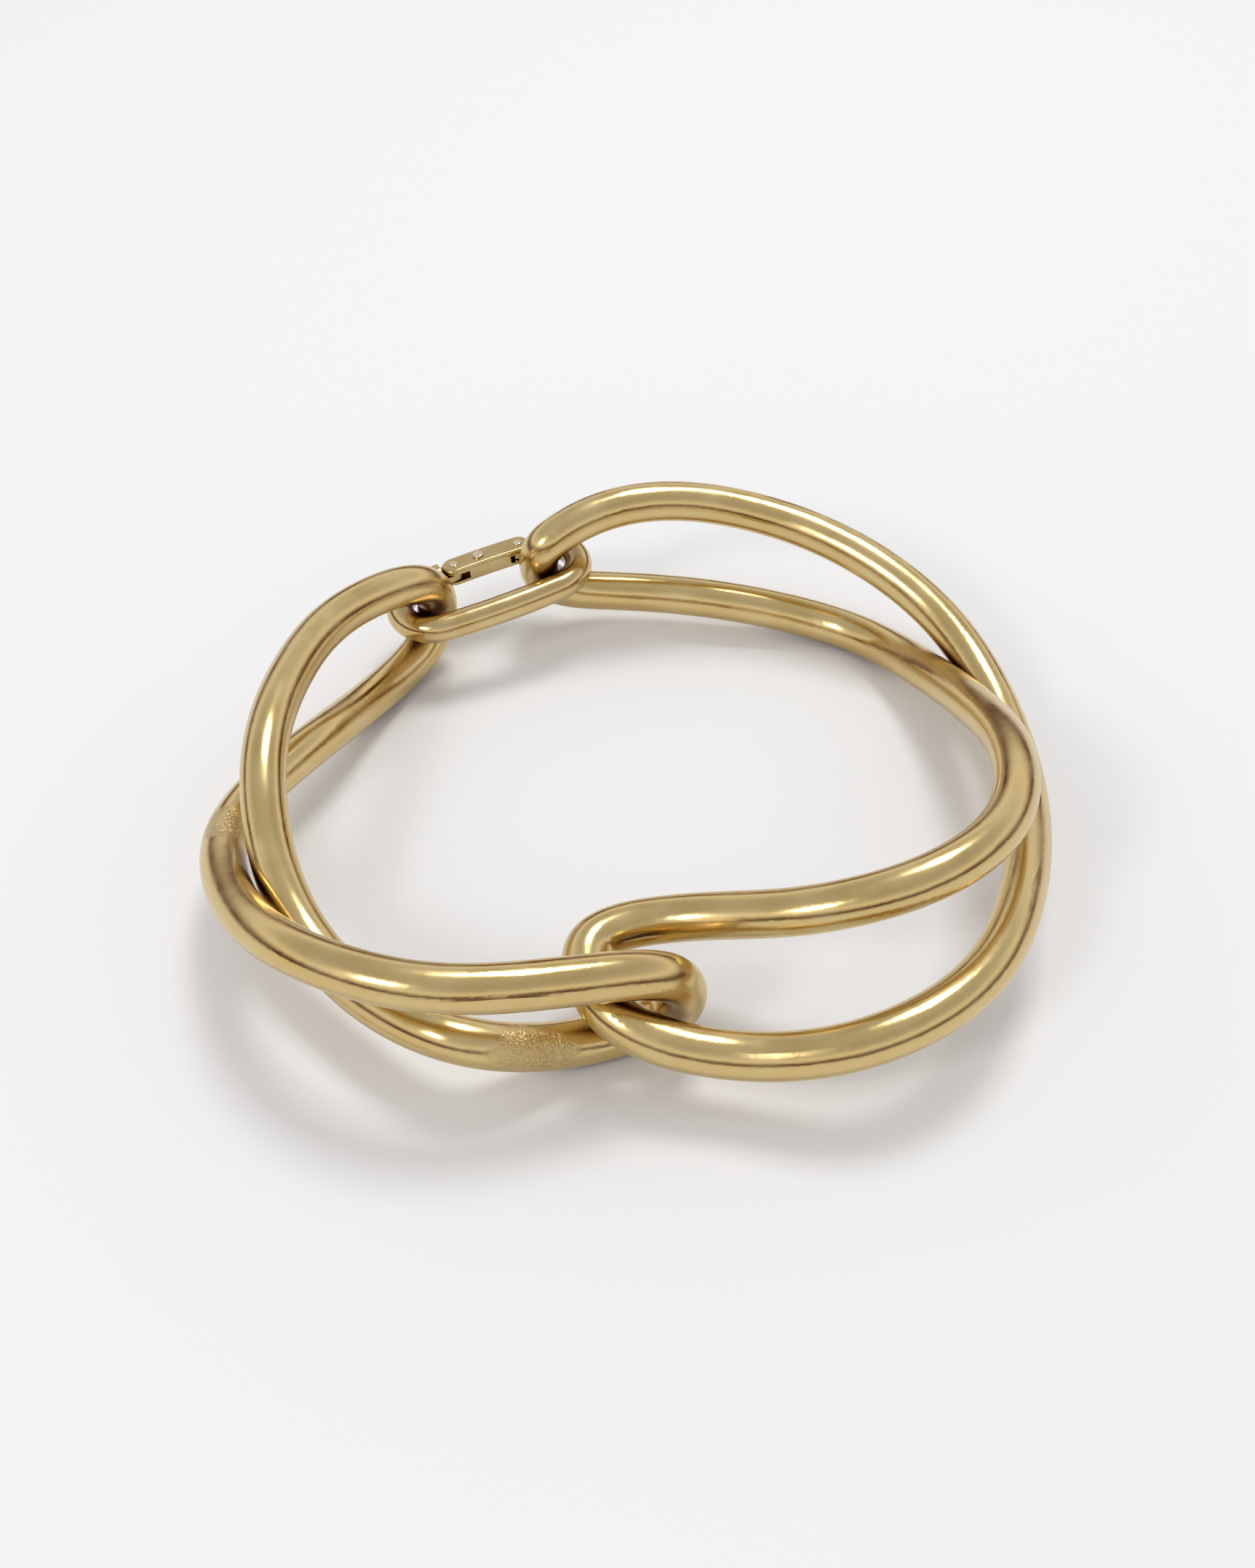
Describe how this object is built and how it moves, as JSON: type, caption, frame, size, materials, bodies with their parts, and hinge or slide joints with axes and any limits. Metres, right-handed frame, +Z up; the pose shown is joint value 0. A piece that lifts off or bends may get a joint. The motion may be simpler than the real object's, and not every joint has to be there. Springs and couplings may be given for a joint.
{
  "type": "link bangle bracelet",
  "caption": "Wrist bangle of long twisted loops of round gold-coloured rod, hooked together at the front and joined at the back by an oval clasp with a hinged side.",
  "frame": {"origin": "centre of the bangle's outline, on the surface it lies on", "axes": "+X to the side of the longer loop, +Y from the front hook towards the clasp, +Z up"},
  "size_m": [0.0701, 0.0647, 0.0163],
  "materials": {
    "rod": "gold plate, polished to a soft shine",
    "clasp": "gold plate, polished to a soft shine",
    "pins": "gold plate, bright ground ends"
  },
  "bodies": {
    "right_loop": {"link_right": "rod"},
    "left_loop": {"link_left": "rod"},
    "clasp": {"clasp_frame": "clasp"},
    "gate": {"clasp_gate": "clasp", "hinge_pin": "pins", "catch_pin": "pins", "thumb_stud": "pins"}
  },
  "joints": [
    {"name": "front_hook", "type": "hinge", "parent": "right_loop", "child": "left_loop", "pos_m": [-0.01824, 0.0229, 0.00655], "axis": [-0.2816, 0.9595, 0.0111], "range_deg": [-8, 3]},
    {"name": "clasp_roll", "type": "hinge", "parent": "right_loop", "child": "clasp", "pos_m": [-0.01824, 0.0229, 0.00655], "axis": [0.9219, 0.3778, 0.0856], "range_deg": [-4, 8]},
    {"name": "gate_swing", "type": "hinge", "parent": "clasp", "child": "gate", "pos_m": [-0.01092, 0.03001, 0.00745], "axis": [0.092, 0.0419, -0.9949], "range_deg": [0, 60]}
  ]
}
